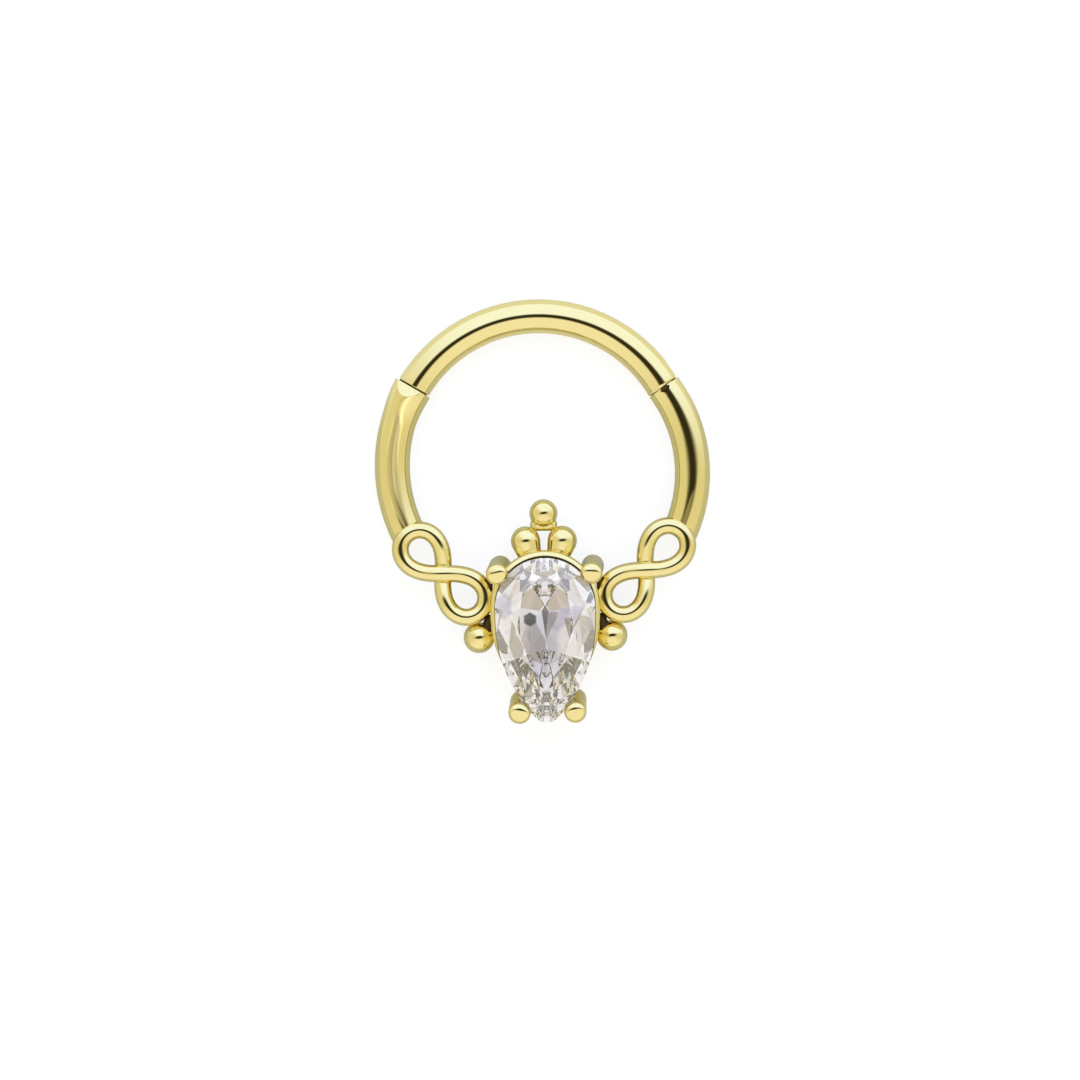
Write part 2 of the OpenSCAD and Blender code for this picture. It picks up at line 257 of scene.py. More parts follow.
class ClickerOrnament(bpy.types.PropertyGroup):
    """The wire scrolls and the grain beads."""

    scroll_d: length("Scroll wire", 0.64, "Thickness of the scroll wire")
    loop_r: length("Loop radius", 0.81, "Radius of each scroll loop, to the middle of its wire")
    upper_loop: point("Upper loop", 4.635, -3.035, 1.12, "Middle of the right scroll's upper loop")
    scroll_middle: point("Scroll middle", 3.81, -3.94, 1.12, "Where the right scroll's strands cross")
    scroll_half: length("Scroll half length", 1.993, "From the crossing to the far side of each loop")
    scroll_swell: length("Scroll swell", 0.738, "Half the width of each loop, to the middle of its wire")
    scroll_lie: turn("Scroll lie", -132.9, "Direction from the crossing to the lower loop")
    strand_lift: length("Strand lift", 0.18, "How far the strands part from each other where they cross")
    top_bead: point("Top bead", 0, -1.74, 0.98, "Middle of the bead at the top")
    row_bead: point("Row bead", 0.69, -2.77, 1.0, "Middle of the right bead of the pair")
    side_bead: point("Side bead", 2.5, -6.37, 0.75, "Middle of the right bead beside the collet")
    top_bead_d: length("Top bead size", 1.06, "Thickness of the bead at the top")
    row_bead_d: length("Row bead size", 1.1, "Thickness of the pair of beads")
    side_bead_d: length("Side bead size", 1.16, "Thickness of the beads beside the collet")
    solder_place: point("Solder", 0.27, -2.16, 0.9, "Right end of the solder under the top bead")
    solder_d: length("Solder thickness", 0.48, "Thickness of the solder under the top bead")
    neck_foot: point("Neck foot", 0.5, -3.42, 1.0, "Where the right bead's solder meets the collet")
    neck_d: length("Neck thickness", 0.8, "Thickness of the solder at its foot")
    # Painted shade: the seam and nook rods, called dark solder, are dark metal that paints the shade in the
    # crevices between scroll, collet and side bead.
    seam_head: point("Seam head", 2.03, -4.1, 1.28, "Upper end of the dark solder beside the right scroll")
    seam_tip: point("Seam tip", 2.12, -4.85, 1.24, "Lower end of the dark solder beside the right scroll")
    seam_d: length("Seam thickness", 0.24, "Thickness of the dark solder between scroll and collet")
    nook_head: point("Nook head", 2.08, -5.72, 0.95, "Upper end of the dark solder over the right side bead")
    nook_tip: point("Nook tip", 2.2, -6.0, 0.95, "Lower end of the dark solder over the right side bead")
    nook_d: length("Nook thickness", 0.42, "Thickness of the dark solder over the side beads")


class ClickerFinish(bpy.types.PropertyGroup):
    """Colours of the plating, the stone and the studio."""

    gold: colour("Gold", "#F0E0A0", "Colour of the polished plating")
    gold_deep: colour("Deep gold", "#EDDC98", "Colour of the plating where it is a little thicker")
    # Painted shade: this dark metal colour stands for the shade in the joints and crevices.
    joint_shade: colour("Joint metal", "#4A3A18", "Colour of the dull metal inside joints and crevices")
    floor: colour("Floor", "#909090", "Colour of the floor")
    # Painted light: the metal mirrors a dimmer copy of the floor, painted brighter under the ring's top,
    # while the camera sees the floor glow.
    floor_mirrored: colour("Mirrored floor", "#DDDCC9", "Colour of the floor as the metal mirrors it")
    floor_beyond: colour("Floor beyond", "#FFFFF2", "Colour of the mirrored floor under the ring's top")
    floor_glow: FloatProperty(name="Floor glow", description="How much the floor lights up to the camera",
                              default=0.8, min=0)
    upper_light: light("Upper light", 1.11, 1.27, 1.73, "Light from beyond the ring's top")
    lower_light: light("Lower light", 1.05, 1.04, 1.0, "Light from beyond the stone's tip")
    side_light: light("Side light", 0.85, 0.83, 0.62, "Light from the left and the right")
    outer_card: light("Outer card", 0.6, 0.58, 0.5, "Light of the wide card over the left shank")
    inner_card: light("Inner card", 0.65, 0.66, 0.66, "Light of the card towards the left shank's inner side")
    lower_card: light("Lower card", 0.34, 0.32, 0.22, "Light of the card over the right shank's lower end")
    slot_light: light("Slot", 0.035, 0.03, 0.01, "The dark slot over the ring, where the camera looks in")
    stone_light: light("Stone light", 0.87, 0.84, 0.84, "Light that the stone gathers")
    stone_shade: light("Stone shade", 0.42, 0.37, 0.31, "Shade that the stone gathers")
    stone_blush: light("Stone blush", 0.62, 0.53, 0.42, "Warm light that the stone gathers beyond its tip")
    stone_gleam: light("Stone gleam", 0.85, 0.84, 0.88, "Cool light that the stone gathers over its tip")
    stone_tint: colour("Stone tint", "#FDFBFA", "Tint of the stone")
    # Painted reflections and shade: the tints of the window, the dark facet and the violet facets.
    window_tint: colour("Window tint", "#C6C8D8", "Tint of the stone in its window")
    shadow_tint: colour("Shadow tint", "#1C2022", "Tint of the stone's dark facet")
    mist_tint: colour("Mist tint", "#B4ACC4", "Tint of the violet facets at the stone's left edge")
    # Painted light: the stone's face glows a little to the camera, more on its head.
    haze: FloatProperty(name="Haze", description="Soft light on the stone's face", default=0.08, min=0)
    head_haze: FloatProperty(name="Head haze", description="Soft light on the face of the stone's head",
                             default=0.2, min=0)


class ClickerStudio(bpy.types.PropertyGroup):
    """The camera over the ring, the cards over its shanks and the painted brighter part of the floor that the
    metal mirrors.
    """

    # Painted light: the floor that the metal mirrors is painted brighter between these two places.
    floor_from: point("Floor from", 0, 1.5, 0, "Where the mirrored floor starts to grow brighter")
    floor_to: point("Floor to", 0, 4.5, 0, "Where the mirrored floor is brightest")
    outer_card_place: point("Outer card", -6.0, 0.9, 8.7, "Middle of the outer card")
    outer_card_w: length("Outer card width", 18, "Width of the outer card")
    outer_card_l: length("Outer card length", 7.0, "Length of the outer card")
    outer_card_lean: turn("Outer card lean", -12, "Turn of the outer card about the Y axis")
    outer_card_spread: turn("Outer card spread", 60, "Angle over which the outer card shines")
    inner_card_place: point("Inner card", 2.0, 1.8, 9.0, "Middle of the inner card")
    inner_card_w: length("Inner card width", 16, "Width of the inner card")
    inner_card_l: length("Inner card length", 5.2, "Length of the inner card")
    inner_card_lean: turn("Inner card lean", 14, "Turn of the inner card about the Y axis")
    inner_card_spread: turn("Inner card spread", 60, "Angle over which the inner card shines")
    lower_card_place: point("Lower card", 6.0, -3.4, 8.7, "Middle of the lower card")
    lower_card_w: length("Lower card width", 10, "Width of the lower card")
    lower_card_l: length("Lower card length", 4.4, "Length of the lower card")
    lower_card_lean: turn("Lower card lean", 0, "Turn of the lower card about the Y axis")
    lower_card_spread: turn("Lower card spread", 60, "Angle over which the lower card shines")
    target: point("Target", -0.146, -2.742, 0.66, "What the camera looks at")
    frame_width: length("Frame width", 40.6, "Width of the picture at the ring")
    camera_height: length("Camera height", 500, "How far the camera stands above the ring")
    camera_roll: turn("Camera roll", -1.0, "Turn of the camera about its own axis")


GROUPS = (
    ("clicker_wire", ClickerWire),
    ("clicker_joints", ClickerJoints),
    ("clicker_setting", ClickerSetting),
    ("clicker_ornament", ClickerOrnament),
    ("clicker_finish", ClickerFinish),
    ("clicker_studio", ClickerStudio),
)


def in_millimetres(group):
    """The values of a property group, with its lengths and places in millimetres to model in."""
    values = {}
    for name in group.__annotations__:
        value = getattr(group, name)
        if group.bl_rna.properties[name].unit == "LENGTH":
            value = value / MM if isinstance(value, float) else Vector(value) / MM
        values[name] = value
    return SimpleNamespace(**values)


def ring_middle(setting):
    """Where the middle of the ring's hole is in the frame, from the stone's own box."""
    low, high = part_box("pear_stone")
    return Vector(((low.x + high.x) / 2, low.y - setting.stone_tip_y, 0))


def mirrored(place, side):
    """The place itself for side 1, and its mirror image for side -1."""
    return Vector((side * place[0], place[1], place[2]))


def polar(centre, radius, angle):
    """The point of an arc in the ring's plane."""
    return Vector(centre) + radius * Vector((math.cos(angle), math.sin(angle), 0))


def across(middle, ahead):
    """The matrix whose XY plane cuts a wire squarely at middle, with X level and Y upward."""
    ahead = ahead.normalized()
    side = ahead.cross(UP).normalized()
    return Matrix.Translation(middle) @ Matrix((side, side.cross(ahead), -ahead)).transposed().to_4x4()


def new_items(made, kind):
    """The items of one kind that an operator has made."""
    return [item for item in made["geom"] if isinstance(item, kind)]


def face_outward(bm):
    """Makes the faces of a closed mesh agree, and look outward."""
    bmesh.ops.recalc_face_normals(bm, faces=bm.faces)
    if bm.calc_volume(signed=True) < 0:
        bmesh.ops.reverse_faces(bm, faces=bm.faces)


def in_order(bm):
    """Sorts the parts of a mesh by place, so that every run cuts it in the same way."""
    bm.verts.sort(key=lambda vert: vert.co.dot(ORDER))
    for parts in (bm.edges, bm.faces):
        parts.sort(key=lambda part: sum((vert.co for vert in part.verts), Vector()).dot(ORDER))


def sweep(places, radii, sides, closed=False):
    """A mesh made by extruding a circle step by step along a list of cross-section matrices."""
    bm = bmesh.new()
    sections = [m @ Matrix.Diagonal((r, r, r, 1)) for m, r in zip(places, radii)]
    bmesh.ops.create_circle(bm, segments=sides, radius=1, matrix=sections[0])
    first = rim = bm.edges[:]
    for before, after in zip(sections, sections[1:]):
        made = bmesh.ops.extrude_edge_only(bm, edges=rim)
        verts = new_items(made, bmesh.types.BMVert)
        moved = set(verts)
        rim = [e for e in new_items(made, bmesh.types.BMEdge) if set(e.verts) <= moved]
        bmesh.ops.transform(bm, matrix=after @ before.inverted(), verts=verts)
    if closed:
        bmesh.ops.bridge_loops(bm, edges=first + rim)
    else:
        bmesh.ops.edgeloop_fill(bm, edges=first)
        bmesh.ops.edgeloop_fill(bm, edges=rim)
    face_outward(bm)
    return bm


def arc_places(centre, radius, start, stop):
    """Cross-section matrices along an arc in the ring's plane."""
    count = max(LEAST_STEPS, round(abs(stop - start) / math.tau * STEPS_PER_TURN))
    angles = [start + (stop - start) * i / count for i in range(count + 1)]
    return angles, [across(polar(centre, radius, a), Vector((-math.sin(a), math.cos(a), 0))) for a in angles]


def slice_off(bm, place, outward, soften=0.0):
    """Cuts away what lies beyond a plane, closes the cut, and may round its edge a little."""
    in_order(bm)
    if soften:
        guard = bm.verts[:] + bm.edges[:] + bm.faces[:]
        bmesh.ops.bisect_plane(bm, geom=guard, dist=MERGE / 10, plane_co=place - GUARD * soften * outward,
                               plane_no=outward)
    geom = bm.verts[:] + bm.edges[:] + bm.faces[:]
    cut = bmesh.ops.bisect_plane(bm, geom=geom, dist=MERGE / 10, plane_co=place, plane_no=outward,
                                 clear_outer=True)
    edges = [e for e in cut["geom_cut"] if isinstance(e, bmesh.types.BMEdge)]
    face = bmesh.ops.edgeloop_fill(bm, edges=edges)["faces"]
    if soften:
        rim = [e for f in face for e in f.edges]
        bmesh.ops.bevel(bm, geom=rim, offset=soften, segments=2, profile=0.5, affect="EDGES", material=-1)


def turned_part(profile, place, steps=48):
    """A new mesh turned from a profile, closed at its poles and put in place."""
    bm = bmesh.new()
    verts = [bm.verts.new((r, 0, h)) for r, h in profile]
    edges = [bm.edges.new(pair) for pair in zip(verts, verts[1:])]
    bmesh.ops.spin(bm, geom=verts + edges, cent=(0, 0, 0), axis=(0, 0, 1), angle=math.tau,
                   steps=steps, use_merge=True)
    bmesh.ops.remove_doubles(bm, verts=bm.verts, dist=MERGE)
    bmesh.ops.holes_fill(bm, edges=[e for e in bm.edges if e.is_boundary])
    face_outward(bm)
    bmesh.ops.transform(bm, matrix=place, verts=bm.verts)
    return bm


def join(bm, other):
    """Adds another mesh to a mesh as a further shell."""
    spare = bpy.data.meshes.new("spare")
    other.to_mesh(spare)
    other.free()
    bm.from_mesh(spare)
    bpy.data.meshes.remove(spare)


def combine(bm, tool, operation):
    """Joins a mesh with a tool, or cuts the tool out of it."""
    pair = []
    for label, mesh_in in (("base", bm), ("tool", tool)):
        mesh = bpy.data.meshes.new(label)
        in_order(mesh_in)
        mesh_in.to_mesh(mesh)
        mesh_in.free()
        pair.append(bpy.data.objects.new(label, mesh))
        bpy.context.scene.collection.objects.link(pair[-1])
    base, cutter = pair
    modifier = base.modifiers.new("combine", "BOOLEAN")
    modifier.object = cutter
    modifier.operation = operation
    modifier.solver = "MANIFOLD"
    made = bmesh.new()
    made.from_object(base, bpy.context.evaluated_depsgraph_get())
    for item in pair:
        mesh = item.data
        bpy.data.objects.remove(item)
        bpy.data.meshes.remove(mesh)
    return made


def aim(start, stop):
    """The matrix at start whose Z axis points to stop."""
    return Matrix.Translation(start) @ (stop - start).to_track_quat("Z", "Y").to_matrix().to_4x4()


def ball_profile(radius, start, stop, height=0.0, steps=24):
    """Points of a sphere's outline between two angles above its middle."""
    angles = [start + (stop - start) * i / steps for i in range(steps + 1)]
    return [(abs(radius * math.cos(a)), height + radius * math.sin(a)) for a in angles]


def bead(middle, diameter):
    """A grain bead."""
    return turned_part(ball_profile(diameter / 2, -math.pi / 2, math.pi / 2), Matrix.Translation(middle))


def rod(a, b, ra, rb):
    """A round rod between two points, with domed ends of radius ra and rb and straight flanks."""
    run = (b - a).length
    lean = math.asin((ra - rb) / run)
    low = ball_profile(ra, -math.pi / 2, lean)
    return turned_part(low + ball_profile(rb, lean, math.pi / 2, run), aim(a, b))


def cylinder(place, radius, low, high):
    """A round tool with flat ends."""
    return turned_part([(0, low), (radius, low), (radius, high), (0, high)], place, WIRE_SIDES)


def block(place, low, high):
    """A block tool between two corners of the matrix place."""
    bm = bmesh.new()
    size = Vector(high) - Vector(low)
    middle = Matrix.Translation((Vector(high) + Vector(low)) / 2)
    bmesh.ops.create_cube(bm, size=1, matrix=place @ middle @ Matrix.Diagonal(size.to_4d()))
    return bm


def add_node(tree, kind, links=None, **settings):
    """Adds a shader node, sets its properties, and fills its inputs with values or links."""
    made = tree.nodes.new(kind)
    for key, value in settings.items():
        setattr(made, key, value)
    for key, value in (links or {}).items():
        if isinstance(value, bpy.types.NodeSocket):
            tree.links.new(value, made.inputs[key])
        else:
            made.inputs[key].default_value = value
    return made


def lay_over(tree, base, rows):
    """Lays colours over a base, each from nothing at the first end of its value to full at the second."""
    for value, (nothing, full), colour_over in rows:
        share = add_node(tree, "ShaderNodeMapRange", {
            "Value": value, "From Min": nothing, "From Max": full}, interpolation_type="SMOOTHSTEP")
        base = add_node(tree, "ShaderNodeMix", {
            0: share.outputs["Result"], 6: base, 7: (*colour_over, 1)}, data_type="RGBA").outputs[2]
    return base


def new_material(name):
    """An empty node material with its output."""
    material = bpy.data.materials.new(name)
    material.use_nodes = True
    material.node_tree.nodes.clear()
    return material, material.node_tree


def pattern_scale(size):
    """The scale of a pattern whose patches are so many millimetres wide."""
    return 1 / (size * MM)


def plated_gold(finish):
    """Pale lemon gold plating on polished steel: mirror bright, with faint waves from the polishing wheel."""
    name = "plated_gold"
    if name in bpy.data.materials:
        return bpy.data.materials[name]
    material, tree = new_material(name)
    place = add_node(tree, "ShaderNodeTexCoord").outputs["Object"]
    tone = add_node(tree, "ShaderNodeTexNoise", {
        "Vector": place, "Scale": pattern_scale(TONE_SIZE), "Detail": 2.0})
    blend = add_node(tree, "ShaderNodeMix", {
        0: tone.outputs["Fac"], 6: (*finish.gold, 1), 7: (*finish.gold_deep, 1)}, data_type="RGBA")
    grain = add_node(tree, "ShaderNodeTexNoise", {
        "Vector": place, "Scale": pattern_scale(GRAIN_SIZE), "Detail": 3.0})
    rough = add_node(tree, "ShaderNodeMapRange", {
        "Value": grain.outputs["Fac"], "To Min": 0.05, "To Max": 0.11})
    wave = add_node(tree, "ShaderNodeTexNoise", {
        "Vector": place, "Scale": pattern_scale(WAVE_SIZE), "Detail": 1.0})
    bump = add_node(tree, "ShaderNodeBump", {
        "Height": wave.outputs["Fac"], "Strength": 0.12, "Distance": WAVE_DEPTH * MM})
    shader = add_node(tree, "ShaderNodeBsdfPrincipled", {
        "Base Color": blend.outputs[2], "Metallic": 1.0, "Roughness": rough.outputs["Result"],
        "Normal": bump.outputs["Normal"]})
    add_node(tree, "ShaderNodeOutputMaterial", {"Surface": shader.outputs["BSDF"]})
    return material


def joint_metal(finish):
    """Dull dark brown metal put in joints and crevices as painted shade."""
    name = "joint_metal"
    if name in bpy.data.materials:
        return bpy.data.materials[name]
    material, tree = new_material(name)
    place = add_node(tree, "ShaderNodeTexCoord").outputs["Object"]
    grain = add_node(tree, "ShaderNodeTexNoise", {
        "Vector": place, "Scale": pattern_scale(GRAIN_SIZE), "Detail": 2.0})
    rough = add_node(tree, "ShaderNodeMapRange", {
        "Value": grain.outputs["Fac"], "To Min": 0.5, "To Max": 0.7})
    shader = add_node(tree, "ShaderNodeBsdfPrincipled", {
        "Base Color": (*finish.joint_shade, 1), "Metallic": 0.6, "Roughness": rough.outputs["Result"]})
    add_node(tree, "ShaderNodeOutputMaterial", {"Surface": shader.outputs["BSDF"]})
    return material


def cubic_zirconia(setting, finish):
    """Cut and polished cubic zirconia: bright and nearly colourless, with painted reflections and shade in
    its colour: a cooler, greyer window, violet facets and a dark facet.
    """
    material, tree = new_material("cubic_zirconia")
    place = add_node(tree, "ShaderNodeTexCoord").outputs["Object"]
    middle = ring_middle(setting)

    def away(spot, width, height):
        """How far a place on the stone's face lies from a spot, with 1 at the edge of a hexagon about it."""
        off = add_node(tree, "ShaderNodeVectorMath", {
            0: place, 1: Vector(spot) + middle}, operation="SUBTRACT")
        scaled = add_node(tree, "ShaderNodeVectorMath", {
            0: off.outputs[0], 1: (2 / width, 2 / height, 0)}, operation="MULTIPLY")
        folded = add_node(tree, "ShaderNodeVectorMath", {0: scaled.outputs[0]}, operation="ABSOLUTE")
        flank, slant = [add_node(tree, "ShaderNodeVectorMath", {
            0: folded.outputs[0], 1: way}, operation="DOT_PRODUCT").outputs["Value"] for way in HEXAGON]
        return add_node(tree, "ShaderNodeMath", {0: flank, 1: slant}, operation="MAXIMUM").outputs[0]

    # Painted reflections and shade: the window, violet facets and dark facet are tinted into the stone's
    # colour by place.
    rows = []
    for name, edge in TINT_EDGES.items():
        place_here, width, height = [getattr(setting, f"{name}_{part}") for part in ("place", "w", "l")]
        rows.append((away(place_here, width, height), (1 + edge, 1 - edge), getattr(finish, f"{name}_tint")))
    tint = lay_over(tree, (*finish.stone_tint, 1), rows)
    split = add_node(tree, "ShaderNodeSeparateXYZ", {0: place})
    head = setting.stone_head_y + middle.y
    # Painted light: the stone's face glows a little to the camera only, more towards its head.
    haze = add_node(tree, "ShaderNodeMapRange", {
        "Value": split.outputs["Y"], "From Min": head, "From Max": head + setting.stone_w / 2,
        "To Min": finish.haze, "To Max": finish.head_haze}, interpolation_type="SMOOTHSTEP")
    seen = add_node(tree, "ShaderNodeLightPath").outputs["Is Camera Ray"]
    haze = add_node(tree, "ShaderNodeMath", {0: haze.outputs["Result"], 1: seen}, operation="MULTIPLY")
    shader = add_node(tree, "ShaderNodeBsdfPrincipled", {
        "Base Color": tint, "Roughness": 0.0, "IOR": 2.15, "Transmission Weight": 1.0,
        "Emission Color": (*finish.stone_tint, 1), "Emission Strength": haze.outputs[0]})
    add_node(tree, "ShaderNodeOutputMaterial", {"Surface": shader.outputs["BSDF"]})
    return material


def finish_piece(context, name, bm, body, node_name):
    """Puts a mesh in its place in the frame as a polished piece that rides on a body."""
    middle = ring_middle(context.scene.clicker_setting)
    in_order(bm)
    bmesh.ops.transform(bm, matrix=Matrix.Translation(middle) @ Matrix.Scale(MM, 4), verts=bm.verts)
    for face in bm.faces:
        face.smooth = True
    mesh = bpy.data.meshes.new(name)
    bm.to_mesh(mesh)
    bm.free()
    mesh.set_sharp_from_angle(angle=SHARP_ANGLE)
    piece = bpy.data.objects.new(name, mesh)
    context.scene.collection.objects.link(piece)
    mesh.materials.append(plated_gold(context.scene.clicker_finish))
    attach(piece, body)
    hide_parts(node_name)
    return piece


def hinge_place(wire, joints):
    """The hinge's own matrix: X points outward and Y along the wire, away from the right shank."""
    seam = joints.hinge_seam
    return Matrix.Translation(polar(wire.right_c, wire.right_r, seam)) @ Matrix.Rotation(seam, 4, "Z")


def clasp_place(wire, joints):
    """The clasp's own matrix: X points outward and Y into the left shank."""
    seam = joints.clasp_seam
    return Matrix.Translation(polar(wire.left_c, wire.left_r, seam)) @ Matrix.Rotation(seam, 4, "Z")


def shank_end(centre, loop, stop, side):
    """The direction in which a shank ends, just short of the upper scroll loop on its side."""
    way = mirrored(loop, side) - Vector(centre)
    angle = math.atan2(way.y, way.x)
    return angle + stop if side > 0 else angle + math.tau - stop


def loop_core(ornament, side):
    """The space inside an upper scroll loop, out to the middle of its wire."""
    middle = mirrored(ornament.upper_loop, side)
    return cylinder(Matrix.Translation(middle), ornament.loop_r, -FAR, FAR)


def heel_room(wire, joints, place):
    """The hollow in which the heel of the opening segment turns."""
    radius = wire.segment_d / 2
    reach = math.sqrt(radius * radius - joints.pin_x ** 2)
    steps = 12
    outline = [(0, -reach)]
    for i in range(-steps, steps + 1):
        z = reach * i / steps
        half = max(0.0, math.sqrt(radius * radius - z * z) - joints.pin_x)
        outline.append((math.hypot(half, joints.pin_y) + joints.heel_play, z))
    outline.append((0, reach))
    return turned_part(outline, place, FINE_STEPS)


class ClickerPiece:
    """What the operators that make pieces share."""

    bl_options = {"REGISTER", "UNDO"}

    def sizes(self, context):
        """The sizes of wire, joints, setting and ornament, in millimetres."""
        scene = context.scene
        groups = (scene.clicker_wire, scene.clicker_joints, scene.clicker_setting, scene.clicker_ornament)
        return [in_millimetres(group) for group in groups]

    def shade(self, context, piece):
        """Gives a piece the dull dark metal that paints the shade in joints and crevices."""
        piece.data.materials.clear()
        piece.data.materials.append(joint_metal(context.scene.clicker_finish))


class CLICKER_OT_left_shank(ClickerPiece, bpy.types.Operator):
    """Make the left shank, which swells towards the clasp and ends in a ground bevel"""

    bl_idname = "clicker.left_shank"
    bl_label = "Left Shank"

    def execute(self, context):
        wire, joints, _, ornament = self.sizes(context)
        seam = joints.clasp_seam
        stop = shank_end(wire.left_c, ornament.upper_loop, wire.shank_stop, -1)
        angles, places = arc_places(wire.left_c, wire.left_r, seam - CLASP_SPARE, stop)
        radii = []
        for i, angle in enumerate(angles):
            near = max(0.0, 1 - max(0.0, angle - seam) * wire.left_r / joints.flare_l)
            swell = near * near * (3 - 2 * near)
            radii.append((wire.shank_d + swell * (wire.clasp_d - wire.shank_d)) / 2)
            rise = swell * (wire.clasp_d - wire.shank_d) / 2
            places[i] = Matrix.Translation((0, 0, rise)) @ places[i]
        bm = sweep(places, radii, WIRE_SIDES)
        clasp = clasp_place(wire, joints)
        turned = clasp.to_3x3()
        slice_off(bm, clasp.translation, turned @ Vector((0, -1, 0)))
        skew = Matrix.Rotation(joints.bevel_skew, 3, "Z")
        slope = turned @ skew @ Vector((0, -joints.bevel_h, joints.bevel_l))
        start = clasp @ Vector((0, joints.bevel_l, joints.bevel_z))
        slice_off(bm, start, slope.normalized(), CLASP_ROUND)
        dimple = clasp @ Vector((0, joints.nub_h - joints.clasp_gap - joints.nub_r, 0))
        bm = combine(bm, bead(dimple, 2 * (joints.nub_r + joints.nub_play)), "DIFFERENCE")
        bm = combine(bm, loop_core(ornament, -1), "DIFFERENCE")
        finish_piece(context, "left_shank", bm, "ring", "ring_frame")
        return {"FINISHED"}


class CLICKER_OT_right_shank(ClickerPiece, bpy.types.Operator):
    """Make the right shank with the tongue of the hinge"""

    bl_idname = "clicker.right_shank"
    bl_label = "Right Shank"

    def tongue(self, wire, joints, place):
        """The flat tab with a round end about the pin."""
        half = joints.tongue_t / 2
        tab = cylinder(place, joints.tongue_r, -half, half)
        low = (-joints.tongue_r, -joints.pin_y - wire.shank_d / 2, -half)
        return combine(tab, block(place, low, (joints.tongue_r, 0, half)), "UNION")

    def execute(self, context):
        wire, joints, _, ornament = self.sizes(context)
        stop = shank_end(wire.right_c, ornament.upper_loop, wire.shank_stop, 1)
        _, places = arc_places(wire.right_c, wire.right_r, stop, joints.hinge_seam)
        bm = sweep(places, [wire.shank_d / 2] * len(places), WIRE_SIDES)
        pin = hinge_place(wire, joints) @ Matrix.Translation((joints.pin_x, joints.pin_y, 0))
        bm = combine(bm, heel_room(wire, joints, pin), "DIFFERENCE")
        bm = combine(bm, loop_core(ornament, 1), "DIFFERENCE")
        bm = combine(bm, self.tongue(wire, joints, pin), "UNION")
        bore = joints.pin_d / 2 + joints.pin_clearance
        bm = combine(bm, cylinder(pin, bore, -wire.shank_d, wire.shank_d), "DIFFERENCE")
        front = hinge_place(wire, joints) @ Matrix.Translation((0, -joints.pit_place, wire.shank_d / 2))
        half = joints.pit_w / 2
        corner_on = front @ Matrix.Rotation(math.pi / 4, 4, "Z")
        pit = block(corner_on, (-half, -half, -joints.pit_depth), (half, half, FAR))
        bm = combine(bm, pit, "DIFFERENCE")
        finish_piece(context, "right_shank", bm, "ring", "ring_frame")
        return {"FINISHED"}


class CLICKER_OT_shoulders(ClickerPiece, bpy.types.Operator):
    """Make the dark shoulders inside the hinge and the clasp, which close the view through their gaps and
    paint the shade in them
    """

    bl_idname = "clicker.shoulders"
    bl_label = "Shoulders"

    def execute(self, context):
        wire, joints, _, _ = self.sizes(context)
        radius = wire.segment_d / 2 - joints.shoulder_inset
        clasp = clasp_place(wire, joints) @ Matrix.Rotation(-math.pi / 2, 4, "X")
        bm = cylinder(clasp, radius, joints.shoulder_gap - joints.clasp_gap, joints.shoulder_gap)
        bm = combine(bm, cylinder(clasp, joints.nub_r, -FAR, FAR), "DIFFERENCE")
        self.shade(context, finish_piece(context, "clasp_shoulder", bm, "ring", "ring_frame"))
        hinge = hinge_place(wire, joints)
        pin = hinge @ Matrix.Translation((joints.pin_x, joints.pin_y, 0))
        bm = cylinder(hinge @ Matrix.Rotation(-math.pi / 2, 4, "X"), radius, -joints.nub_h,
                      joints.hinge_gap - joints.shoulder_gap)
        bm = combine(bm, heel_room(wire, joints, pin), "DIFFERENCE")
        self.shade(context, finish_piece(context, "hinge_shoulder", bm, "ring", "ring_frame"))
        return {"FINISHED"}


class CLICKER_OT_segment(ClickerPiece, bpy.types.Operator):
    """Make the hinged segment with its fork and click nub"""

    bl_idname = "clicker.segment"
    bl_label = "Hinged Segment"

    def execute(self, context):
        wire, joints, _, _ = self.sizes(context)
        hinge, clasp = hinge_place(wire, joints), clasp_place(wire, joints)
        ends = [m.translation - Vector(wire.segment_c) for m in (hinge, clasp)]
        start, stop = [math.atan2(v.y, v.x) for v in ends]
        _, places = arc_places(wire.segment_c, wire.segment_r, start - SEGMENT_SPARE, stop + SEGMENT_SPARE)
        bm = sweep(places, [wire.segment_d / 2] * len(places), WIRE_SIDES)
        back, ahead = hinge.to_3x3() @ Vector((0, -1, 0)), clasp.to_3x3() @ Vector((0, 1, 0))
        slice_off(bm, hinge @ Vector((0, joints.hinge_gap, 0)), back, HINGE_ROUND)
        slice_off(bm, clasp @ Vector((0, -joints.clasp_gap, 0)), ahead, CLASP_ROUND)
        pin = hinge @ Matrix.Translation((joints.pin_x, joints.pin_y, 0))
        bm = combine(bm, self.slot(wire, joints, pin), "DIFFERENCE")
        seat = joints.pin_d / 2 + joints.pin_seat_gap
        front = joints.pin_front + joints.pin_seat_gap
        bm = combine(bm, cylinder(pin, seat, -wire.shank_d, front), "DIFFERENCE")
        nub = clasp @ Vector((0, joints.nub_h - joints.clasp_gap - joints.nub_r, 0))
        bm = combine(bm, bead(nub, 2 * joints.nub_r), "UNION")
        finish_piece(context, "segment_wire", bm, "segment", "hinged_segment")
        return {"FINISHED"}

    def slot(self, wire, joints, place):
        """The slot that leaves the tongue free as the segment swings a quarter turn."""
        half = joints.tongue_t / 2 + joints.slot_play
        radius = joints.tongue_r + joints.slot_play
        far = wire.segment_d
        tool = cylinder(place, radius, -half, half)
        tool = combine(tool, block(place, (-radius, -far, -half), (far, 0, half)), "UNION")
        return combine(tool, block(place, (0, -far, -half), (far, radius, half)), "UNION")


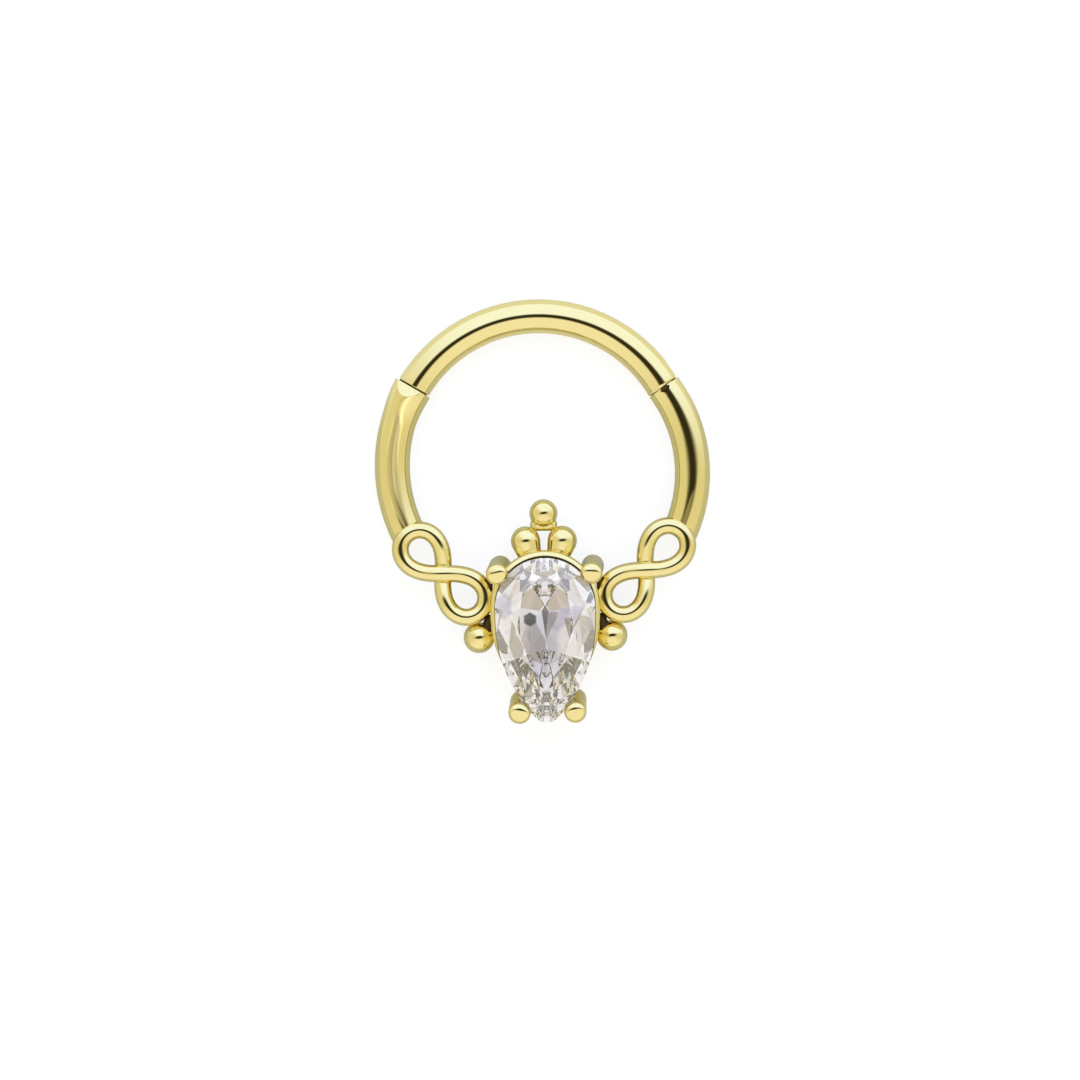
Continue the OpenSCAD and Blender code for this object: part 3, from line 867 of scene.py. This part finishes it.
def pear(head_r, head_y, flank_y, tip_y, tip_r):
    """The measures of a pear outline: round head, straight flanks, long side arcs and a round tip."""
    drop = flank_y - tip_y - tip_r
    side_r = (drop * drop + head_r * head_r - tip_r * tip_r) / (2 * (head_r - tip_r))
    return SimpleNamespace(head_r=head_r, head_y=head_y, flank_y=flank_y, tip_y=tip_y, tip_r=tip_r,
                           off=side_r - head_r, side_turn=math.asin(drop / (side_r - tip_r)))


def grown(shape, by):
    """The same pear outline, set outward by a distance."""
    return pear(shape.head_r + by, shape.head_y, shape.flank_y, shape.tip_y - by, shape.tip_r + by)


def pear_block(shape, low, high, steps=24):
    """A block with a pear outline between two heights. The outline starts and ends at the tip."""
    bm = bmesh.new()
    first = bm.verts.new((0, shape.tip_y, low))

    def arc(vert, x, y, angle):
        made = bmesh.ops.spin(bm, geom=[vert], cent=(x, y, low), axis=(0, 0, 1), angle=angle,
                              steps=max(LEAST_STEPS, round(steps * angle)))
        return next(item for item in made["geom_last"] if isinstance(item, bmesh.types.BMVert))

    def straight(vert, way):
        moved = bmesh.ops.extrude_vert_indiv(bm, verts=[vert])["verts"]
        bmesh.ops.translate(bm, vec=(0, way, 0), verts=moved)
        return moved[0]

    flank = shape.head_y - shape.flank_y
    tip_turn = math.pi / 2 - shape.side_turn
    last = arc(first, 0, shape.tip_y + shape.tip_r, tip_turn)
    last = arc(last, -shape.off, shape.flank_y, shape.side_turn)
    last = straight(last, flank)
    last = arc(last, 0, shape.head_y, math.pi)
    last = straight(last, -flank)
    last = arc(last, shape.off, shape.flank_y, shape.side_turn)
    last = arc(last, 0, shape.tip_y + shape.tip_r, tip_turn)
    bmesh.ops.weld_verts(bm, targetmap={last: first})
    face = bmesh.ops.edgeloop_fill(bm, edges=bm.edges)["faces"]
    top = bmesh.ops.extrude_face_region(bm, geom=face, use_keep_orig=True)
    bmesh.ops.translate(bm, vec=(0, 0, high - low), verts=new_items(top, bmesh.types.BMVert))
    face_outward(bm)
    return bm


class CLICKER_OT_collet(ClickerPiece, bpy.types.Operator):
    """Make the pear collet, open through the back, with the ledge that the stone lies on"""

    bl_idname = "clicker.collet"
    bl_label = "Collet"

    def execute(self, context):
        _, _, setting, _ = self.sizes(context)
        stone = pear(setting.stone_w / 2, setting.stone_head_y, setting.stone_flank_y,
                     setting.stone_tip_y, setting.stone_tip_r)
        rim = pear(setting.rim_w / 2, setting.rim_head_y, setting.rim_flank_y,
                   setting.rim_tip_y, setting.rim_tip_r)
        rim_z = setting.girdle_z + setting.rim_h
        seat_z = setting.girdle_z - setting.girdle_t - setting.seat_drop
        bm = pear_block(rim, 0, rim_z)
        edge = [e for e in bm.edges if all(v.co.z > seat_z for v in e.verts)]
        bmesh.ops.bevel(bm, geom=edge, offset=setting.rim_round, segments=8, profile=0.5,
                        affect="EDGES", material=-1)
        bm = combine(bm, pear_block(grown(stone, -setting.wall_inset), 0, seat_z), "UNION")
        bm = combine(bm, pear_block(grown(stone, -setting.seat_w), -FAR, FAR), "DIFFERENCE")
        bm = combine(bm, pear_block(grown(stone, setting.stone_gap), seat_z, FAR), "DIFFERENCE")
        finish_piece(context, "collet", bm, "ring", "ring_frame")
        return {"FINISHED"}


class CLICKER_OT_claws(ClickerPiece, bpy.types.Operator):
    """Make the four claws"""

    bl_idname = "clicker.claws"
    bl_label = "Claws"

    def claw(self, setting, name):
        """A round claw with a ball foot, and a low dome ground down on both sides of a ridge."""
        foot, tip = getattr(setting, name + "_foot"), getattr(setting, name + "_tip")
        ridge = getattr(setting, name + "_ridge")
        radius, dome_r, edge_r = setting.claw_d / 2, setting.claw_dome_r, setting.claw_round
        run = (tip - foot).length
        lean = math.acos((radius - edge_r) / (dome_r - edge_r))
        edge_z = run + radius - dome_r + (dome_r - edge_r) * math.sin(lean)
        profile = ball_profile(radius, -math.pi / 2, 0)
        edge = ball_profile(edge_r, 0, lean, edge_z, LEAST_STEPS)
        profile += [(r + radius - edge_r, h) for r, h in edge]
        profile += ball_profile(dome_r, lean, math.pi / 2, run + radius - dome_r)
        bm = turned_part(profile, aim(foot, tip), FINE_STEPS)
        across_ridge = Vector((-math.sin(ridge), math.cos(ridge), 0))
        for vert in bm.verts:
            if vert.co.z > tip.z:
                aside = math.hypot((vert.co - tip).dot(across_ridge), setting.ridge_round)
                vert.co.z -= setting.claw_drop * (aside - setting.ridge_round) / radius
        return bm

    def execute(self, context):
        _, _, setting, _ = self.sizes(context)
        for name in ("head_left", "head_right", "tip_left", "tip_right"):
            finish_piece(context, name + "_claw", self.claw(setting, name), "ring", "ring_frame")
        return {"FINISHED"}


class CLICKER_OT_beads(ClickerPiece, bpy.types.Operator):
    """Make the five grain beads with the solder that holds them, and dark rods that paint the shade in the
    crevices beside them
    """

    bl_idname = "clicker.beads"
    bl_label = "Grain Beads"

    def execute(self, context):
        _, _, setting, ornament = self.sizes(context)
        top = Vector(ornament.top_bead)
        row_r = ornament.row_bead_d / 2
        bm = bead(top, ornament.top_bead_d)
        solder_r = ornament.solder_d / 2
        join(bm, rod(mirrored(ornament.solder_place, -1), ornament.solder_place, solder_r, solder_r))
        finish_piece(context, "top_bead", bm, "ring", "ring_frame")
        for label, side in (("left", -1), ("right", 1)):
            row = mirrored(ornament.row_bead, side)
            bm = rod(row, mirrored(ornament.neck_foot, side), row_r, ornament.neck_d / 2)
            finish_piece(context, f"row_bead_{label}", bm, "ring", "ring_frame")
            bm = bead(mirrored(ornament.side_bead, side), ornament.side_bead_d)
            finish_piece(context, f"side_bead_{label}", bm, "ring", "ring_frame")
            self.shade(context, self.crevice_shade(context, ornament, label, side))
        return {"FINISHED"}

    def crevice_shade(self, context, ornament, label, side):
        """Dark rods between the collet, a scroll and a side bead, which paint the shade in the crevices
        there.
        """
        seam_head, seam_tip = mirrored(ornament.seam_head, side), mirrored(ornament.seam_tip, side)
        nook_head, nook_tip = mirrored(ornament.nook_head, side), mirrored(ornament.nook_tip, side)
        seam_r, nook_r = ornament.seam_d / 2, ornament.nook_d / 2
        bm = rod(seam_head, seam_tip, seam_r, seam_r)
        join(bm, rod(nook_head, nook_tip, nook_r, nook_r))
        # These dark rods paint the shade in the crevices.
        return finish_piece(context, f"solder_{label}", bm, "ring", "ring_frame")


class CLICKER_OT_scrolls(ClickerPiece, bpy.types.Operator):
    """Make the two figure-eight wire scrolls"""

    bl_idname = "clicker.scrolls"
    bl_label = "Wire Scrolls"

    def path(self, ornament, steps=180):
        """Points of the right figure eight, a lemniscate with one strand raised over the other."""
        lie = Matrix.Translation(ornament.scroll_middle) @ Matrix.Rotation(ornament.scroll_lie, 4, "Z")
        widest = math.sqrt(8)
        points = []
        for i in range(steps):
            sine, cosine = math.sin(math.tau * i / steps), math.cos(math.tau * i / steps)
            along = ornament.scroll_half * cosine / (1 + sine * sine)
            aside = ornament.scroll_swell * widest * sine * cosine / (1 + sine * sine)
            points.append(lie @ Vector((along, aside, -ornament.strand_lift * sine ** CROSSING_POWER)))
        return points

    def execute(self, context):
        _, _, _, ornament = self.sizes(context)
        for label, side in (("left", -1), ("right", 1)):
            points = [mirrored(p, side) for p in self.path(ornament)]
            ahead = points[1:] + points[:1]
            behind = points[-1:] + points[:-1]
            places = [across(p, a - b) for p, a, b in zip(points, ahead, behind)]
            bm = sweep(places, [ornament.scroll_d / 2] * len(places), THIN_WIRE_SIDES, closed=True)
            finish_piece(context, f"scroll_{label}", bm, "ring", "ring_frame")
        return {"FINISHED"}


class CLICKER_OT_stone_and_pin(ClickerPiece, bpy.types.Operator):
    """Give the stone and the hinge pin their finishes"""

    bl_idname = "clicker.stone_and_pin"
    bl_label = "Stone and Pin"

    def execute(self, context):
        scene = context.scene
        finishes = {"pear_stone": cubic_zirconia(scene.clicker_setting, scene.clicker_finish),
                    "hinge_pin": plated_gold(scene.clicker_finish)}
        for name, material in finishes.items():
            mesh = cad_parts[name].data
            mesh.materials.clear()
            mesh.materials.append(material)
        return {"FINISHED"}


class CLICKER_OT_stage(bpy.types.Operator):
    """Make the floor, the light and the camera"""

    bl_idname = "clicker.stage"
    bl_label = "Stage"

    def floor(self, context):
        """A wide matt floor of white acrylic that glows to the camera as a light table would; the metal
        mirrors a dimmer copy of it, painted brighter towards the ring's top as painted light.
        """
        finish, studio = context.scene.clicker_finish, context.scene.clicker_studio
        bm = bmesh.new()
        bmesh.ops.create_grid(bm, x_segments=1, y_segments=1, size=FLOOR_REACH)
        mesh = bpy.data.meshes.new("floor")
        bm.to_mesh(mesh)
        bm.free()
        floor = bpy.data.objects.new("floor", mesh)
        context.scene.collection.objects.link(floor)
        material, tree = new_material("white_acrylic")
        seen = add_node(tree, "ShaderNodeLightPath").outputs["Is Camera Ray"]
        place = add_node(tree, "ShaderNodeTexCoord").outputs["Object"]
        split = add_node(tree, "ShaderNodeSeparateXYZ", {0: place})
        middle = ring_middle(context.scene.clicker_setting)
        ends = (middle.y + studio.floor_from[1], middle.y + studio.floor_to[1])
        # Painted light: rays other than the camera's see a dimmer copy of the floor, painted brighter towards
        # the ring's top.
        mirrored_floor = lay_over(tree, (*finish.floor_mirrored, 1), [
            (split.outputs["Y"], ends, finish.floor_beyond)])
        base = add_node(tree, "ShaderNodeMix", {
            0: seen, 6: mirrored_floor, 7: (*finish.floor, 1)}, data_type="RGBA")
        glow = add_node(tree, "ShaderNodeMath", {0: seen, 1: finish.floor_glow}, operation="MULTIPLY")
        shader = add_node(tree, "ShaderNodeBsdfPrincipled", {
            "Base Color": base.outputs[2], "Roughness": 0.9, "Specular IOR Level": 0.0,
            "Emission Color": (1, 1, 1, 1), "Emission Strength": glow.outputs[0]})
        add_node(tree, "ShaderNodeOutputMaterial", {"Surface": shader.outputs["BSDF"]})
        mesh.materials.append(material)

    def cards(self, context):
        """Small cards of light over the shanks, each of which only its own shank reflects."""
        scene = context.scene
        studio, finish = scene.clicker_studio, scene.clicker_finish
        shanks = {"outer_card": "left_shank", "inner_card": "left_shank", "lower_card": "right_shank"}
        for name, shank in shanks.items():
            lit = bpy.data.collections.new(f"lit_by_{name}")
            lit.objects.link(bpy.data.objects[shank])
            lamp = bpy.data.lights.new(name, "AREA")
            lamp.shape = "RECTANGLE"
            lamp.size = getattr(studio, name + "_w")
            lamp.size_y = getattr(studio, name + "_l")
            lamp.color = getattr(finish, name)
            lamp.spread = getattr(studio, name + "_spread")
            half = lamp.spread / 2
            lamp.energy = math.pi * lamp.size * lamp.size_y * (1 - half / math.tan(half))
            card = bpy.data.objects.new(name, lamp)
            card.location = Vector(getattr(studio, name + "_place")) + ring_middle(scene.clicker_setting)
            card.rotation_euler = (0, getattr(studio, name + "_lean"), 0)
            card.visible_camera = False
            card.light_linking.receiver_collection = lit
            scene.collection.objects.link(card)

    def slot(self, tree, ball):
        """The dark slot overhead: 1 within a lens on the mirror ball, and 0 outside it."""
        split = add_node(tree, "ShaderNodeSeparateXYZ", {0: ball})
        along = add_node(tree, "ShaderNodeMath", {0: split.outputs["X"], 1: SLOT_X}, operation="SUBTRACT")
        along = add_node(tree, "ShaderNodeMath", {0: along.outputs[0]}, operation="ABSOLUTE")
        taper = add_node(tree, "ShaderNodeMath", {0: along.outputs[0], 1: SLOT_W}, operation="DIVIDE")
        taper = add_node(tree, "ShaderNodeMath", {0: taper.outputs[0], 1: 2.0}, operation="POWER")
        off = add_node(tree, "ShaderNodeVectorMath", {
            0: ball, 1: (-SLOT_LEAN, 1, 0)}, operation="DOT_PRODUCT")
        off = add_node(tree, "ShaderNodeMath", {0: off.outputs["Value"], 1: SLOT_Y}, operation="SUBTRACT")
        off = add_node(tree, "ShaderNodeMath", {0: off.outputs[0]}, operation="ABSOLUTE")
        lens = add_node(tree, "ShaderNodeMath", {
            0: off.outputs[0], 1: 1 / SLOT_H, 2: taper.outputs[0]}, operation="MULTIPLY_ADD")
        sides, ends = [add_node(tree, "ShaderNodeMapRange", {
            "Value": value.outputs[0], "From Min": nothing, "From Max": full},
            interpolation_type="SMOOTHSTEP").outputs["Result"]
            for value, (nothing, full) in ((lens, SLOT_FADE), (along, SLOT_ENDS))]
        return add_node(tree, "ShaderNodeMath", {0: sides, 1: ends}, operation="MULTIPLY").outputs[0]

    def light_tent(self, context):
        """A light tent with a dark slot overhead, drawn as a mirror ball seen from above would show it."""
        finish = context.scene.clicker_finish
        world = bpy.data.worlds.new("light_tent")
        context.scene.world = world
        world.use_nodes = True
        tree = world.node_tree
        tree.nodes.clear()
        way = add_node(tree, "ShaderNodeTexCoord").outputs["Generated"]
        half = add_node(tree, "ShaderNodeVectorMath", {0: way, 1: UP}, operation="ADD")
        ball = add_node(tree, "ShaderNodeVectorMath", {0: half.outputs[0]}, operation="NORMALIZE").outputs[0]
        flat = add_node(tree, "ShaderNodeVectorMath", {0: ball, 1: (1, 1, 0)}, operation="MULTIPLY")
        side = add_node(tree, "ShaderNodeVectorMath", {0: flat.outputs[0]}, operation="NORMALIZE")
        lower, upper = [add_node(tree, "ShaderNodeVectorMath", {
            0: side.outputs[0], 1: facing}, operation="DOT_PRODUCT").outputs["Value"]
            for facing in ((0, 1, 0), (UPPER_SKEW, 1, 0))]
        tone = lay_over(tree, (*finish.side_light, 1), [
            (lower, LOWER_FADE, finish.lower_light), (upper, UPPER_FADE, finish.upper_light)])
        tone = add_node(tree, "ShaderNodeMix", {
            0: self.slot(tree, ball), 6: tone, 7: (*finish.slot_light, 1)}, data_type="RGBA")
        patches = add_node(tree, "ShaderNodeTexNoise", {"Vector": way, "Scale": PATCH_SCALE, "Detail": 1.0})
        warm, cold = [add_node(tree, "ShaderNodeVectorMath", {
            0: way, 1: spot}, operation="DISTANCE").outputs["Value"] for spot in (BLUSH, GLEAM)]
        gathered = lay_over(tree, (*finish.stone_shade, 1), [
            (patches.outputs["Fac"], PATCH_FADE, finish.stone_light),
            (warm, BLUSH_FADE, finish.stone_blush), (cold, GLEAM_FADE, finish.stone_gleam)])
        in_stone = add_node(tree, "ShaderNodeLightPath").outputs["Is Transmission Ray"]
        seen = add_node(tree, "ShaderNodeMix", {
            0: in_stone, 6: tone.outputs[2], 7: gathered}, data_type="RGBA")
        lamp = add_node(tree, "ShaderNodeBackground", {"Color": seen.outputs[2]})
        add_node(tree, "ShaderNodeOutputWorld", {"Surface": lamp.outputs[0]})

    def camera(self, context):
        """A long lens straight over the ring, turned as the photograph is."""
        scene = context.scene
        studio = scene.clicker_studio
        data = bpy.data.cameras.new("camera")
        data.lens = data.sensor_width * studio.camera_height / studio.frame_width
        data.clip_start = studio.camera_height * NEAREST
        camera = bpy.data.objects.new("camera", data)
        scene.collection.objects.link(camera)
        camera.location = (Vector(studio.target) + ring_middle(scene.clicker_setting)
                           + Vector((0, 0, studio.camera_height)))
        camera.rotation_euler = (0, 0, studio.camera_roll)
        scene.camera = camera

    def execute(self, context):
        self.floor(context)
        self.cards(context)
        self.light_tent(context)
        self.camera(context)
        context.scene.view_settings.view_transform = "Standard"
        context.scene.cycles.max_bounces = 20
        context.scene.cycles.glossy_bounces = 16
        context.scene.cycles.transmission_bounces = 20
        return {"FINISHED"}


PIECE_OPERATORS = (
    CLICKER_OT_left_shank,
    CLICKER_OT_right_shank,
    CLICKER_OT_shoulders,
    CLICKER_OT_segment,
    CLICKER_OT_collet,
    CLICKER_OT_claws,
    CLICKER_OT_beads,
    CLICKER_OT_scrolls,
    CLICKER_OT_stone_and_pin,
    CLICKER_OT_stage,
)


class CLICKER_PT_panel(bpy.types.Panel):
    """The sidebar panel that lists the sizes and the pieces"""

    bl_idname = "CLICKER_PT_panel"
    bl_label = "Clicker ring"
    bl_space_type = "VIEW_3D"
    bl_region_type = "UI"
    bl_category = "Clicker ring"

    def draw(self, context):
        for maker in PIECE_OPERATORS:
            self.layout.operator(maker.bl_idname)
        for name, group in GROUPS:
            box = self.layout.box()
            for prop in group.__annotations__:
                box.prop(getattr(context.scene, name), prop)


def register():
    for name, group in GROUPS:
        bpy.utils.register_class(group)
        setattr(bpy.types.Scene, name, PointerProperty(type=group))
    for maker in PIECE_OPERATORS:
        bpy.utils.register_class(maker)
    bpy.utils.register_class(CLICKER_PT_panel)


def unregister():
    bpy.utils.unregister_class(CLICKER_PT_panel)
    for maker in reversed(PIECE_OPERATORS):
        bpy.utils.unregister_class(maker)
    for name, group in reversed(GROUPS):
        delattr(bpy.types.Scene, name)
        bpy.utils.unregister_class(group)


def main():
    register()
    bpy.ops.clicker.left_shank()
    bpy.ops.clicker.right_shank()
    bpy.ops.clicker.shoulders()
    bpy.ops.clicker.segment()
    bpy.ops.clicker.collet()
    bpy.ops.clicker.claws()
    bpy.ops.clicker.beads()
    bpy.ops.clicker.scrolls()
    bpy.ops.clicker.stone_and_pin()
    bpy.ops.clicker.stage()


if __name__ == "__main__":
    main()
